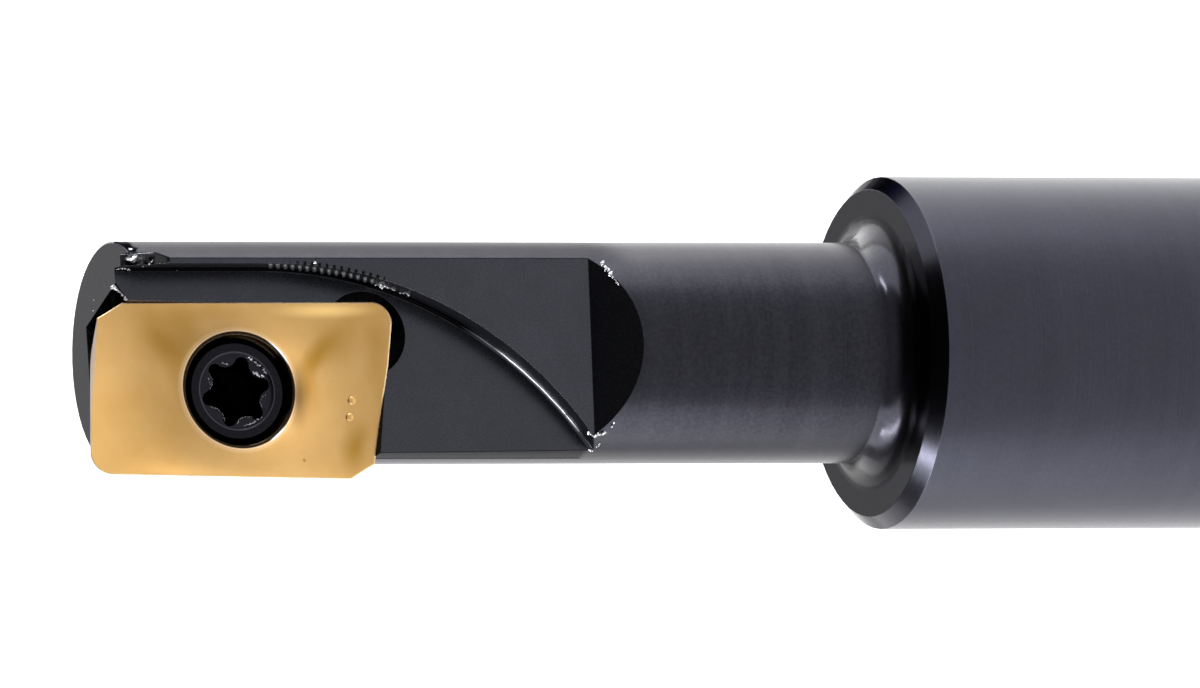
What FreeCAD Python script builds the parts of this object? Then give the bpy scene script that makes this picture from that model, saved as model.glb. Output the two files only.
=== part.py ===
import FreeCAD, Part
import math
import os

# Indexable end mill with a reduced neck and one parallelogram insert held by a countersunk screw.
# The tool stands on its shank: the origin is the centre of the rear end face and +Z runs to the tip.
# The flute opens towards -Y and the cutting edge lies on the -X side, for clockwise rotation
# seen from the shank. All sizes are in millimetres and degrees.

# Holder body
shank_diameter = 12.7
shank_length = 51.9
rear_chamfer = 0.8
shoulder_chamfer = 0.46
neck_diameter = 7.94
neck_length = 29.2
shoulder_fillet = 1.05
tip_edge_break = 0.06

# Upper flute, one flat floor with a sloping end wall
flute_floor_height = 2.38
flute_length = 17.45
flute_end_angle = 41.0

# Gouge at the tip, between the land wall and the neck's outer skin
gouge_depth = 1.12
gouge_length = 1.45
gouge_width = 0.42

# Pocket planes, turned about the tool axis and leaning towards the tip
pocket_turn_angle = 5.0
pocket_lean_angle = 1.1
land_height = 0.89
land_wall_offset = 2.97
land_wall_straight = 5.5
land_wall_radius = 14.6
land_wall_sweep_angle = 67.0
land_root_radius = 0.12

# Cutting insert
cutting_diameter = 9.525
rake_height = 1.22
insert_centre_back = 4.4
insert_turn_angle = 1.4
insert_width = 6.42
insert_length = 11.66
insert_thickness = 3.5
corner_radius = 0.8
wiper_reach = 2.05
wiper_angle = 2.5
relief_angle = 6.8
heel_angle = 60.0
heel_cut = 0.42
side_clearance_angle = 11.0
relief_clearance_angle = 16.0
wiper_clearance_angle = 19.0
edge_fall = 0.52
chip_groove_depth = 0.35
chip_groove_power = 4
centre_boss_height = 1.05
centre_boss_spread = 2.0
rake_grid_rows = 19
rake_grid_columns = 25
insert_bore = 2.8
countersink_diameter = 4.08
countersink_angle = 60.0
countersink_lip_radius = 0.09

# Pocket around the insert
pocket_wall_gap = 0.02
corner_relief_diameter = 3.1
corner_relief_inset_length = 0.97
corner_relief_inset_width = 1.08
corner_relief_depth = 0.12
front_flare_length = 0.4
front_flare_angle = 54.0

# Clamping screw
thread_diameter = 2.5
thread_gap = 0.02
head_seat_gap = 0.02
head_recess = 0.27
head_rim_bevel = 0.12
head_ring_diameter = 3.45
socket_across_lobes = 2.6
socket_across_waist = 1.86
socket_lobes = 6
socket_lobe_share = 0.44
socket_depth = 1.15
socket_turn_angle = 15.0
socket_mouth_diameter = 2.78
socket_mouth_depth = 0.14
socket_floor_angle = 120.0
screw_reach = 0.58
screw_end_bevel = 0.2

# Values that follow from the sizes above
body_length = shank_length + neck_length
neck_radius = neck_diameter / 2
shank_radius = shank_diameter / 2
seat_height = rake_height - insert_thickness
half_width = insert_width / 2
half_length = insert_length / 2
bore_radius = insert_bore / 2
thread_radius = thread_diameter / 2
cut_margin = 2.0
cut_reach = shank_diameter
match_tolerance = 0.001


def tangent(degrees):
    return math.tan(math.radians(degrees))


def vector(x, y, z):
    return FreeCAD.Vector(x, y, z)


def closed_wire(corners):
    return Part.makePolygon(corners + [corners[0]])


def prism(corners, direction):
    return Part.Face(closed_wire(corners)).extrude(direction)


def cylinder_between(radius, bottom, top, centre_u=0.0, centre_v=0.0):
    return Part.makeCylinder(radius, top - bottom, vector(centre_u, centre_v, bottom))


def cone_between(bottom_radius, top_radius, bottom, top):
    return Part.makeCone(bottom_radius, top_radius, top - bottom, vector(0, 0, bottom))


# Frames. In the pocket frame u runs from the tip face along the tool to the shank, v crosses the
# pocket to the side away from the cutting edge and w rises square to the pocket floor.

def pocket_frame():
    along_tool = FreeCAD.Matrix(0, 1, 0, 0, 0, 0, -1, 0, -1, 0, 0, 0, 0, 0, 0, 1)
    turn = FreeCAD.Rotation(vector(0, 0, 1), pocket_turn_angle)
    lean = FreeCAD.Rotation(vector(1, 0, 0), -pocket_lean_angle)
    upright = FreeCAD.Placement(along_tool).Rotation
    return FreeCAD.Placement(vector(0, 0, body_length), turn * lean * upright)


def insert_centre_across():
    # The cutting corner touches the cutting circle at the height of the rake plane.
    corner_u = half_length - corner_radius
    turn = math.radians(insert_turn_angle)
    corner_across = half_width * math.cos(turn) - corner_u * math.sin(turn)
    return corner_across - math.sqrt((cutting_diameter / 2) ** 2 - rake_height ** 2)


def insert_frame():
    centre = vector(insert_centre_back, insert_centre_across(), seat_height)
    turn = FreeCAD.Rotation(vector(0, 0, 1), -insert_turn_angle)
    return pocket_frame() * FreeCAD.Placement(centre, turn)


def placed(shape, frame):
    moved = shape.copy()
    moved.Placement = frame
    return moved


# A tapered prism is bounded by slanting planes. Each side is given by the angle of its outward
# normal, its distance from the centre at the reference height and its clearance angle.

def side_distance(side, height, reference):
    return side[1] - (reference - height) * tangent(side[2])


def meeting_point(first, second, height, reference):
    first_angle = math.radians(first[0])
    second_angle = math.radians(second[0])
    first_distance = side_distance(first, height, reference)
    second_distance = side_distance(second, height, reference)
    spread = math.sin(second_angle - first_angle)
    u = (first_distance * math.sin(second_angle) - second_distance * math.sin(first_angle)) / spread
    v = (second_distance * math.cos(first_angle) - first_distance * math.cos(second_angle)) / spread
    return vector(u, v, height)


def level_corners(sides, height, reference):
    following = sides[1:] + sides[:1]
    return [meeting_point(side, after, height, reference) for side, after in zip(sides, following)]


def tapered_prism(sides, bottom, top, reference):
    lower = level_corners(sides, bottom, reference)
    upper = level_corners(sides, top, reference)
    faces = [Part.Face(closed_wire(lower[::-1])), Part.Face(closed_wire(upper))]
    for index in range(len(sides)):
        before = index - 1
        flank = [lower[before], lower[index], upper[index], upper[before]]
        faces.append(Part.Face(closed_wire(flank)))
    shell = Part.Shell(faces)
    shell.sewShape()
    return Part.Solid(shell)


# Sides of the insert at the height of its cutting corners

def long_side():
    return (90.0, half_width, side_clearance_angle)


def wiper_side():
    slope = math.radians(wiper_angle)
    distance = half_length * math.cos(slope) - half_width * math.sin(slope)
    return (-wiper_angle, distance, wiper_clearance_angle)


def wiper_end():
    end_v = half_width - wiper_reach
    end_u = half_length - (half_width - end_v) * tangent(wiper_angle)
    return end_u, end_v


def relief_side():
    slope = math.radians(relief_angle)
    end_u, end_v = wiper_end()
    distance = end_u * math.cos(slope) - end_v * math.sin(slope)
    return (-relief_angle, distance, relief_clearance_angle)


def opposite(side):
    return (side[0] + 180.0, side[1], side[2])


def heel_side():
    # The bevel takes heel_cut off the corner between the relief side and the far long side.
    slope = math.radians(heel_angle)
    corner = meeting_point(opposite(long_side()), relief_side(), insert_thickness, insert_thickness)
    distance = corner.x * math.cos(slope) - corner.y * math.sin(slope) - heel_cut
    return (-heel_angle, distance, wiper_clearance_angle)


def insert_sides():
    half = [heel_side(), relief_side(), wiper_side(), long_side()]
    return half + [opposite(side) for side in half]


def edge_middle(edge):
    return edge.valueAt((edge.FirstParameter + edge.LastParameter) / 2)


def is_cutting_corner_edge(edge):
    # The slanting edges between a wiper flank and a long flank
    middle = edge_middle(edge)
    on_diagonal = middle.x * middle.y > 0
    spans_height = abs(edge.Vertexes[0].Z - edge.Vertexes[-1].Z) > insert_thickness / 2
    beside_long_side = abs(middle.y) > half_width - insert_thickness * tangent(side_clearance_angle)
    end_taper = insert_thickness * tangent(wiper_clearance_angle)
    beside_end = abs(middle.x) > half_length - corner_radius - end_taper
    return on_diagonal and spans_height and beside_long_side and beside_end


# Sculpted rake face: high at the two cutting corners, falling to the two heels, with a chip groove
# inside the edges and a boss round the screw hole

def rake_face_height(u, v):
    corner_product = (half_length - corner_radius) * (half_width - corner_radius / 2)
    fall = edge_fall * (1 - u * v / corner_product) / 2
    along = 1 - abs(u / half_length) ** chip_groove_power
    across = 1 - abs(v / half_width) ** chip_groove_power
    boss = centre_boss_height * math.exp(-(u * u + v * v) / centre_boss_spread ** 2)
    return insert_thickness - fall - along * across * (chip_groove_depth - boss)


def rim_height():
    return rake_face_height(countersink_diameter / 2, 0)


def above_rake_face():
    reach_u = half_length + corner_radius
    reach_v = half_width + corner_radius / 2
    grid = []
    for column in range(rake_grid_columns):
        u = reach_u * (2 * column / (rake_grid_columns - 1) - 1)
        line = []
        for row in range(rake_grid_rows):
            v = reach_v * (2 * row / (rake_grid_rows - 1) - 1)
            line.append(vector(u, v, rake_face_height(u, v)))
        grid.append(line)
    surface = Part.BSplineSurface()
    surface.interpolate(grid)
    return surface.toShape().extrude(vector(0, 0, insert_thickness))


def countersink_radius(height):
    return countersink_diameter / 2 - (rim_height() - height) * tangent(countersink_angle / 2)


def countersink_bottom():
    fall = (countersink_diameter / 2 - bore_radius) / tangent(countersink_angle / 2)
    return rim_height() - fall


def insert_bore_cut():
    top = insert_thickness + cut_margin
    bore = cylinder_between(bore_radius, -cut_margin, top)
    bottom = countersink_bottom()
    sink = cone_between(bore_radius, countersink_radius(top), bottom, top)
    return bore.fuse(sink)


def is_countersink_rim(edge):
    # The edge where the countersink meets the rake face, above the cone's small end
    middle = edge_middle(edge)
    beside_hole = math.hypot(middle.x, middle.y) < (half_width + bore_radius) / 2
    above_cone = middle.z > countersink_bottom() + match_tolerance
    return beside_hole and above_cone


def make_insert():
    blank = tapered_prism(insert_sides(), 0, insert_thickness + edge_fall, insert_thickness)
    corners = [edge for edge in blank.Edges if is_cutting_corner_edge(edge)]
    blank = blank.makeFillet(corner_radius, corners)
    shaped = blank.cut(above_rake_face())
    bored = shaped.cut(insert_bore_cut())
    lip = [edge for edge in bored.Edges if is_countersink_rim(edge)]
    return bored.makeFillet(countersink_lip_radius, lip)


# Clamping screw, built in the insert frame with its axis through the insert centre

def head_top():
    return rim_height() - head_recess


def head_profile():
    gap = head_seat_gap / math.cos(math.radians(countersink_angle / 2))
    top = head_top()
    shoulder = top - head_rim_bevel
    shoulder_radius = countersink_radius(shoulder) - gap
    neck_fall = (shoulder_radius - thread_radius + thread_gap) / tangent(countersink_angle / 2)
    screw_radius = thread_radius - thread_gap
    end = -screw_reach
    points = [
        vector(0, 0, end),
        vector(screw_radius - screw_end_bevel, 0, end),
        vector(screw_radius, 0, end + screw_end_bevel),
        vector(screw_radius, 0, shoulder - neck_fall),
        vector(shoulder_radius, 0, shoulder),
        vector(head_ring_diameter / 2, 0, top),
        vector(0, 0, top),
    ]
    return closed_wire(points)


def socket_outline(height):
    # Outward lobes on the large circle joined by inward bumps that narrow the waist
    outer = socket_across_lobes / 2
    inner = socket_across_waist / 2
    joint = (outer + inner) / 2
    step = 360.0 / socket_lobes
    lobe_half_angle = step * socket_lobe_share / 2
    edges = []
    for index in range(socket_lobes):
        lobe = socket_turn_angle + index * step
        edges.append(socket_arc(outer, joint, lobe, lobe_half_angle, height))
        edges.append(socket_arc(inner, joint, lobe + step / 2, step / 2 - lobe_half_angle, height))
    return Part.Wire(edges)


def socket_arc(peak_radius, joint_radius, centre_angle, half_angle, height):
    points = []
    for offset, radius in ((-half_angle, joint_radius), (0, peak_radius), (half_angle, joint_radius)):
        angle = math.radians(centre_angle + offset)
        points.append(vector(radius * math.cos(angle), radius * math.sin(angle), height))
    return Part.Arc(points[0], points[1], points[2]).toShape()


def socket_cut():
    top = head_top()
    bottom = top - socket_depth
    lobes = Part.Face(socket_outline(bottom)).extrude(vector(0, 0, socket_depth + cut_margin))
    mouth = cylinder_between(socket_mouth_diameter / 2, top - socket_mouth_depth, top + cut_margin)
    floor_radius = socket_across_waist / 2
    floor_depth = floor_radius / tangent(socket_floor_angle / 2)
    floor = cone_between(0, floor_radius, bottom - floor_depth, bottom)
    return lobes.fuse([mouth, floor])


def make_screw():
    blank = Part.Face(head_profile()).revolve(vector(0, 0, 0), vector(0, 0, 1), 360)
    return blank.cut(socket_cut())


# Holder body

def turned_blank():
    shoulder = shank_length
    fillet_start = neck_radius + shoulder_fillet
    lower = [
        vector(0, 0, 0),
        vector(shank_radius - rear_chamfer, 0, 0),
        vector(shank_radius, 0, rear_chamfer),
        vector(shank_radius, 0, shoulder - shoulder_chamfer),
        vector(shank_radius - shoulder_chamfer, 0, shoulder),
        vector(fillet_start, 0, shoulder),
    ]
    upper = [
        vector(neck_radius, 0, shoulder + shoulder_fillet),
        vector(neck_radius, 0, body_length - tip_edge_break),
        vector(neck_radius - tip_edge_break, 0, body_length),
        vector(0, 0, body_length),
        vector(0, 0, 0),
    ]
    middle_offset = shoulder_fillet * (1 - math.cos(math.radians(45)))
    middle = vector(neck_radius + middle_offset, 0, shoulder + middle_offset)
    edges = Part.makePolygon(lower).Edges
    edges.append(Part.Arc(lower[-1], middle, upper[0]).toShape())
    edges.extend(Part.makePolygon(upper).Edges)
    return Part.Face(Part.Wire(edges)).revolve(vector(0, 0, 0), vector(0, 0, 1), 360)


def flute_cut():
    floor_y = -flute_floor_height
    floor_end = body_length - flute_length
    wall_run = (cut_reach - flute_floor_height) * tangent(flute_end_angle)
    outline = [
        vector(-cut_reach, floor_y, body_length + cut_margin),
        vector(-cut_reach, floor_y, floor_end),
        vector(-cut_reach, -cut_reach, floor_end - wall_run),
        vector(-cut_reach, -cut_reach, body_length + cut_margin),
    ]
    return prism(outline, vector(2 * cut_reach, 0, 0))


def land_wall_point(sweep):
    angle = math.radians(sweep)
    back = land_wall_straight + land_wall_radius * math.sin(angle)
    x = land_wall_offset - land_wall_radius * (1 - math.cos(angle))
    return vector(x, 0, body_length - back)


def below_land():
    far = 2 * neck_length
    block = Part.makeBox(2 * far, 2 * far, far, vector(-far, -far, land_height - far))
    return placed(block, pocket_frame())


def land_cut():
    # The curved wall stands square to the flute floor and the land crosses it on the pocket slant.
    start = vector(land_wall_offset, 0, body_length + cut_margin)
    bend = land_wall_point(0)
    middle = land_wall_point(land_wall_sweep_angle / 2)
    end = land_wall_point(land_wall_sweep_angle)
    low = vector(end.x, 0, start.z)
    wall = [Part.makeLine(start, bend), Part.Arc(bend, middle, end).toShape()]
    outline = Part.Wire(wall + [Part.makeLine(end, low), Part.makeLine(low, start)])
    outline.translate(vector(0, cut_reach, 0))
    block = Part.Face(outline).extrude(vector(0, -2 * cut_reach, 0)).cut(below_land())
    root = [edge for edge in block.Edges if is_land_root(edge)]
    return block.makeFillet(land_root_radius, root)


def is_land_root(edge):
    # Edges where the straight and the curved wall meet the land
    to_pocket = pocket_frame().inverse()
    middle = edge_middle(edge)
    points = [vertex.Point for vertex in edge.Vertexes] + [middle]
    rises = [abs(to_pocket.multVec(point).z - land_height) for point in points]
    on_land = max(rises) < match_tolerance
    on_straight = abs(middle.x - land_wall_offset) < match_tolerance
    curved = edge.Curve.TypeId != "Part::GeomLine"
    return on_land and (on_straight or curved)


def gouge_cut():
    # Its floor rises from the end face to the flute floor, between the land wall and the outer skin.
    run = (gouge_length + cut_margin) / gouge_length
    outline = [
        vector(-gouge_depth, 0, -gouge_length),
        vector(-gouge_depth, gouge_depth * run, cut_margin),
        vector(-gouge_depth, -cut_margin, cut_margin),
        vector(-gouge_depth, -cut_margin, -gouge_length - cut_margin),
    ]
    gouge = prism(outline, vector(gouge_depth + gouge_width, 0, 0))
    gouge.translate(vector(land_wall_offset, -flute_floor_height, body_length))
    return gouge


def pocket_sides():
    gap = pocket_wall_gap
    back = (relief_side()[0], relief_side()[1] + gap, relief_clearance_angle)
    wall = (90.0, half_width + gap, side_clearance_angle)
    flare_normal = 90.0 - front_flare_angle
    flare_start_u = front_flare_length - insert_centre_back
    flare = math.radians(flare_normal)
    flare_distance = flare_start_u * math.cos(flare) + (half_width + gap) * math.sin(flare)
    front_flare = (flare_normal, flare_distance, side_clearance_angle)
    far_wall = (90.0, half_width + cut_margin, 0.0)
    return back, wall, front_flare, far_wall


def pocket_cut():
    back, wall, front_flare, far_wall = pocket_sides()
    open_front = (180.0, insert_length, 0.0)
    open_side = (270.0, insert_length, 0.0)
    top = insert_thickness + cut_margin
    main = tapered_prism([back, wall, open_front, open_side], 0, top, insert_thickness)
    # The flare is a second tapered prism that opens the wall towards the tip face.
    widening = tapered_prism([front_flare, far_wall, open_front, open_side], 0, top, insert_thickness)
    return main.fuse(widening)


def corner_relief_cut():
    centre_u = half_length - corner_relief_inset_length
    centre_v = half_width - corner_relief_inset_width
    top = insert_thickness + cut_margin
    return cylinder_between(corner_relief_diameter / 2, -corner_relief_depth, top, centre_u, centre_v)


def tapped_hole_cut():
    return cylinder_between(thread_radius, seat_height - neck_radius, cut_margin)


def make_body():
    body = turned_blank().cut(flute_cut())
    body = body.cut(land_cut())
    body = body.cut(gouge_cut())
    for cut in (pocket_cut(), corner_relief_cut(), tapped_hole_cut()):
        body = body.cut(placed(cut, insert_frame()))
    return body


def checked(shape, name):
    solid = shape.Solids[0] if len(shape.Solids) == 1 else shape
    if len(shape.Solids) != 1 or not solid.isValid():
        raise ValueError(name + " is not one valid solid")
    return solid


def main():
    os.makedirs("parts", exist_ok=True)
    pieces = {
        "holder_body": make_body(),
        "cutting_insert": placed(make_insert(), insert_frame()),
        "clamp_screw": placed(make_screw(), insert_frame()),
    }
    for name, shape in pieces.items():
        solid = checked(shape, name)
        solid.exportStep("parts/" + name + ".step")
        print(name, "volume", round(solid.Volume, 2), "faces", len(solid.Faces))


main()
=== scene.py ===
import math
import bpy
from mathutils import Matrix, Vector


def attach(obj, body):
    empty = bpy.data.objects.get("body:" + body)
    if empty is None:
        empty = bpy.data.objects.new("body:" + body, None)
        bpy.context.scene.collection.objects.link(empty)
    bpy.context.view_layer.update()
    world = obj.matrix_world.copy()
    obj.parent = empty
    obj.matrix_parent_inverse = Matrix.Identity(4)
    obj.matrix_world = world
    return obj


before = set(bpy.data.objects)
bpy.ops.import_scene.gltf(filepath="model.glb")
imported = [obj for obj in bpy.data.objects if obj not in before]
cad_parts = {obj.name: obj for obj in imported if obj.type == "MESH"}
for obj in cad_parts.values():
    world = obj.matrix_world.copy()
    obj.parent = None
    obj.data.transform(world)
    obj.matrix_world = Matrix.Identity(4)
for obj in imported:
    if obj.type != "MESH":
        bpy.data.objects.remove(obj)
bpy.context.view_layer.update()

bl_info = {
    "name": "Indexable end mill dressing",
    "version": (1, 0, 0),
    "blender": (4, 5, 0),
    "location": "View3D > Sidebar > End Mill",
    "description": "Finishes an indexable end mill: blacked steel, coated insert, burrs, chatter and thread",
    "category": "Object",
}

MM = 0.001

# Sizes and places that the materials and the added pieces follow, in millimetres, as the model has them
TIP_Z = 81.1
NECK_RADIUS = 3.97
SHANK_RADIUS = 6.35
SHOULDER_Z = 51.9
SHOULDER_CHAMFER = 0.46
SHOULDER_FILLET = 1.05
FLUTE_FLOOR_Y = -2.38
FLUTE_END_Z = 61.8
LAND_WALL_X = 2.97
LAND_WALL_RADIUS = 14.6
LAND_WALL_BEND_Z = 75.6
GOUGE_REACH = 1.7
FLARED_WALL_FACING = (-0.54, -0.22, 0.81)
POCKET_TURN = math.radians(5.0)
POCKET_LEAN = math.radians(1.1)
SCREW_AXIS_POINT = (-1.61, 0.98, 76.68)
# How far the lower land stands above that point and the pocket's floor below it, along the screw's axis
LAND_ABOVE_AXIS_POINT = 2.11
SEAT_TO_AXIS_POINT = 1.22
# Radii about the screw's axis: the edge of the insert's countersink and the rim of the screw's socket
COUNTERSINK_RADIUS = 2.13
SOCKET_RIM_RADIUS = 1.40
# Heights over the axis point where the screw's worn ring and the lit part of its socket start and are full
SCREW_RING_HEIGHT = (1.55, 1.7)
SOCKET_LIT_HEIGHT = (1.1, 1.6)
# Where the smooth strip under the land ends on the neck
STRIP_EDGE_Y = -0.90
# Where marks of the cutter and painted light start and where they are full along the tool: the root's highlight is
# a painted highlight, its black line and the black wall are painted shade
STRIP_FROM_Z = (63.5, 63.8)
ROOT_HIGHLIGHT_FROM_Z = (63.8, 64.1)
ROOT_HIGHLIGHT_TO_Z = (67.0, 66.2)
BLACK_ROOT_FROM_Z = (67.0, 68.2)
BLACK_WALL_FROM_Z = (74.5, 77.0)
FLARED_WALL_FROM_Z = 78.0
RAGGED_SKIN_FROM_Z = (80.9, 81.25)
# A point this near to a face is on it
NEAR = 0.01
TIP_FACE_FROM_Z = TIP_Z - 0.003

# Soft oval patches of painted shade on the rake face: centre in millimetres, turn about Y in degrees, half length,
# half width and strength. Deeper gold is painted where the moulded face falls away, standing in for its shading.
RAKE_SHADES = (
    ((0.55, -0.8, 79.45), -32, 2.4, 1.25, 0.62),
    ((0.10, -0.8, 79.00), -50, 1.7, 0.75, 0.6),
    ((0.85, -0.8, 78.50), -32, 1.4, 0.8, 0.55),
    ((1.35, -0.8, 78.30), 90, 2.6, 0.6, 0.32),
    ((-1.30, -0.8, 78.85), -10, 1.5, 0.6, 0.4),
    ((-0.15, -0.8, 73.60), 44, 1.5, 0.6, 0.95),
    ((0.45, -0.8, 72.85), 44, 2.3, 1.1, 0.42),
    ((-1.20, -0.8, 73.95), 0, 1.4, 0.55, 0.75),
    ((0.20, -0.9, 71.45), 0, 2.6, 0.7, 0.4),
    ((-3.50, -0.9, 72.35), 12, 1.3, 0.75, 0.9),
    ((-2.50, -0.9, 71.30), 0, 2.2, 0.45, 0.4),
    ((-3.30, -0.9, 80.70), 0, 3.4, 3.0, 0.3),
)
# Painted highlights on the countersink's edge, painted shade where its lip turns down, and a painted highlight at
# the heel
RIM_HIGHLIGHTS = (
    ((-0.10, -0.8, 75.16), 42, 1.2, 0.7, 1.3),
    ((-3.15, -0.95, 75.22), -42, 0.8, 0.5, 1.1),
)
LIP_SHADE = ((-1.60, -0.85, 74.50), 0, 1.6, 0.68, 0.8)
RAKE_HIGHLIGHT = ((1.42, -0.9, 73.3), 90, 2.4, 0.36, 0.8)

# The photograph's view: a long lens from the flute side, above the tip, rolled so the tool lies level
VIEW_AZIMUTH = math.radians(-5.7)
VIEW_ELEVATION = math.radians(22.1)
VIEW_DISTANCE = 0.8
VIEW_TARGET_ACROSS = 0.000326
VIEW_TARGET_HEIGHT = 0.06235
LENS_MM = 669.6


def linear(hex_colour):
    """Turns an sRGB hex colour into linear red, green, blue and alpha."""
    channels = [int(hex_colour[i : i + 2], 16) / 255 for i in (1, 3, 5)]
    low = [c / 12.92 for c in channels]
    high = [((c + 0.055) / 1.055) ** 2.4 for c in channels]
    return [l if c <= 0.04045 else h for c, l, h in zip(channels, low, high)] + [1.0]


def add_node(tree, kind, inputs=(), output=0, **settings):
    """Adds one node with its settings and links, and gives back one output, or the node for output None.

    The inputs, by name or in order, are values, sRGB hex colours or the sockets that feed them.
    """
    made = tree.nodes.new(kind)
    for name, value in settings.items():
        setattr(made, name, value)
    for socket, value in inputs.items() if isinstance(inputs, dict) else enumerate(inputs):
        if isinstance(value, bpy.types.NodeSocket):
            tree.links.new(value, made.inputs[socket])
        elif isinstance(value, str) and value.startswith("#"):
            made.inputs[socket].default_value = linear(value)
        else:
            made.inputs[socket].default_value = value
    return made if output is None else made.outputs[output]


# Masks run from 0 to 1. A mask may be given as a limit: a value with a test and a number, or a value with the
# place where the mask starts and the place where it is full, the lower or the higher first.


def joined(tree, operation, masks):
    """Joins masks, limits and shares into one mask, two at a time."""
    result = None
    for mask in masks:
        if isinstance(mask, tuple):
            value, start, full = mask
            if isinstance(start, str):
                mask = add_node(tree, "ShaderNodeMath", (value, full), operation=start)
            else:
                mask = add_node(tree, "ShaderNodeMapRange", mask, interpolation_type="SMOOTHSTEP")
        if result is None:
            result = mask
        else:
            result = add_node(tree, "ShaderNodeMath", (result, mask), operation=operation)
    return result


def overlap(tree, *masks):
    """The mask where all of these hold, or the product of plain values."""
    return joined(tree, "MULTIPLY", masks)


def strongest(tree, *masks):
    """The mask where any of these holds, as strong as the strongest."""
    return joined(tree, "MAXIMUM", masks)


def shifted(tree, start, *shifts):
    """A value shifted by each amount as far as its mask holds."""
    for mask, amount in shifts:
        start = add_node(tree, "ShaderNodeMath", (mask, amount, start), operation="MULTIPLY_ADD")
    return start


def off_from(tree, value, middle):
    """How far a value is from the middle, on either side."""
    difference = add_node(tree, "ShaderNodeMath", (value, middle), operation="SUBTRACT")
    return add_node(tree, "ShaderNodeMath", (difference,), operation="ABSOLUTE")


def length_of(tree, across, along):
    """Length of the line with these two sides, such as the distance from the tool's axis."""
    sides = (across, along)
    squares = [add_node(tree, "ShaderNodeMath", (side, side), operation="MULTIPLY") for side in sides]
    total = add_node(tree, "ShaderNodeMath", squares, operation="ADD")
    return add_node(tree, "ShaderNodeMath", (total,), operation="SQRT")


def paint(tree, tone, *coats):
    """Lays coats over a tone. A coat is its mask, its colour and, where it isn't laid in full, its share."""
    for mask, colour, *share in coats:
        sockets = {0: overlap(tree, mask, *share), 6: tone, 7: colour}
        tone = add_node(tree, "ShaderNodeMix", sockets, output=2, data_type="RGBA")
    return tone


def object_millimetres(tree):
    """The place on the piece, in millimetres."""
    place = add_node(tree, "ShaderNodeTexCoord", output="Object")
    return add_node(tree, "ShaderNodeVectorMath", {0: place, "Scale": 1 / MM}, operation="SCALE")


def from_screw_axis(tree, place):
    """Distance from the screw's axis and height along it, both in millimetres."""
    local = add_node(tree, "ShaderNodeVectorMath", (place, SCREW_AXIS_POINT), operation="SUBTRACT")
    height = add_node(tree, "ShaderNodeVectorMath", (local, seat_normal()), "Value", operation="DOT_PRODUCT")
    aside = add_node(tree, "ShaderNodeVectorMath", (local, seat_normal()), operation="CROSS_PRODUCT")
    return add_node(tree, "ShaderNodeVectorMath", (aside,), "Value", operation="LENGTH"), height


def on_land_wall(tree, x, z):
    """Angle along the arc of the land's wall, 0 on its straight end, and depth inside the wall in mm."""
    across = add_node(tree, "ShaderNodeMath", (x, LAND_WALL_X - LAND_WALL_RADIUS), operation="SUBTRACT")
    below = add_node(tree, "ShaderNodeMath", (LAND_WALL_BEND_Z, z), operation="SUBTRACT")
    along = add_node(tree, "ShaderNodeMath", (below, 0.0), operation="MAXIMUM")
    angle = add_node(tree, "ShaderNodeMath", (along, across), operation="ARCTAN2")
    reach = length_of(tree, across, along)
    return angle, add_node(tree, "ShaderNodeMath", (LAND_WALL_RADIUS, reach), operation="SUBTRACT")


def soft_patch(tree, place, patch):
    """Mask of an oval patch, as strong as it says in its middle and gone at its edge."""
    centre, turn, half_length, half_width, strength = patch
    sockets = {
        "Vector": place,
        "Location": centre,
        "Rotation": (0.0, math.radians(turn), 0.0),
        "Scale": (half_length, 3.0, half_width),
    }
    local = add_node(tree, "ShaderNodeMapping", sockets, vector_type="TEXTURE")
    ball = add_node(tree, "ShaderNodeTexGradient", (local,), "Fac", gradient_type="SPHERICAL")
    return overlap(tree, (ball, 0.0, 1.0), strength)


# Materials


def new_material(name):
    """A material with an empty node tree."""
    material = bpy.data.materials.new(name)
    material.use_nodes = True
    material.node_tree.nodes.clear()
    return material, material.node_tree


def end_material(material, looks):
    """Gives the material its shader, with these looks, and its output."""
    shader = add_node(material.node_tree, "ShaderNodeBsdfPrincipled", looks)
    add_node(material.node_tree, "ShaderNodeOutputMaterial", {"Surface": shader}, output=None)
    return material


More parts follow.
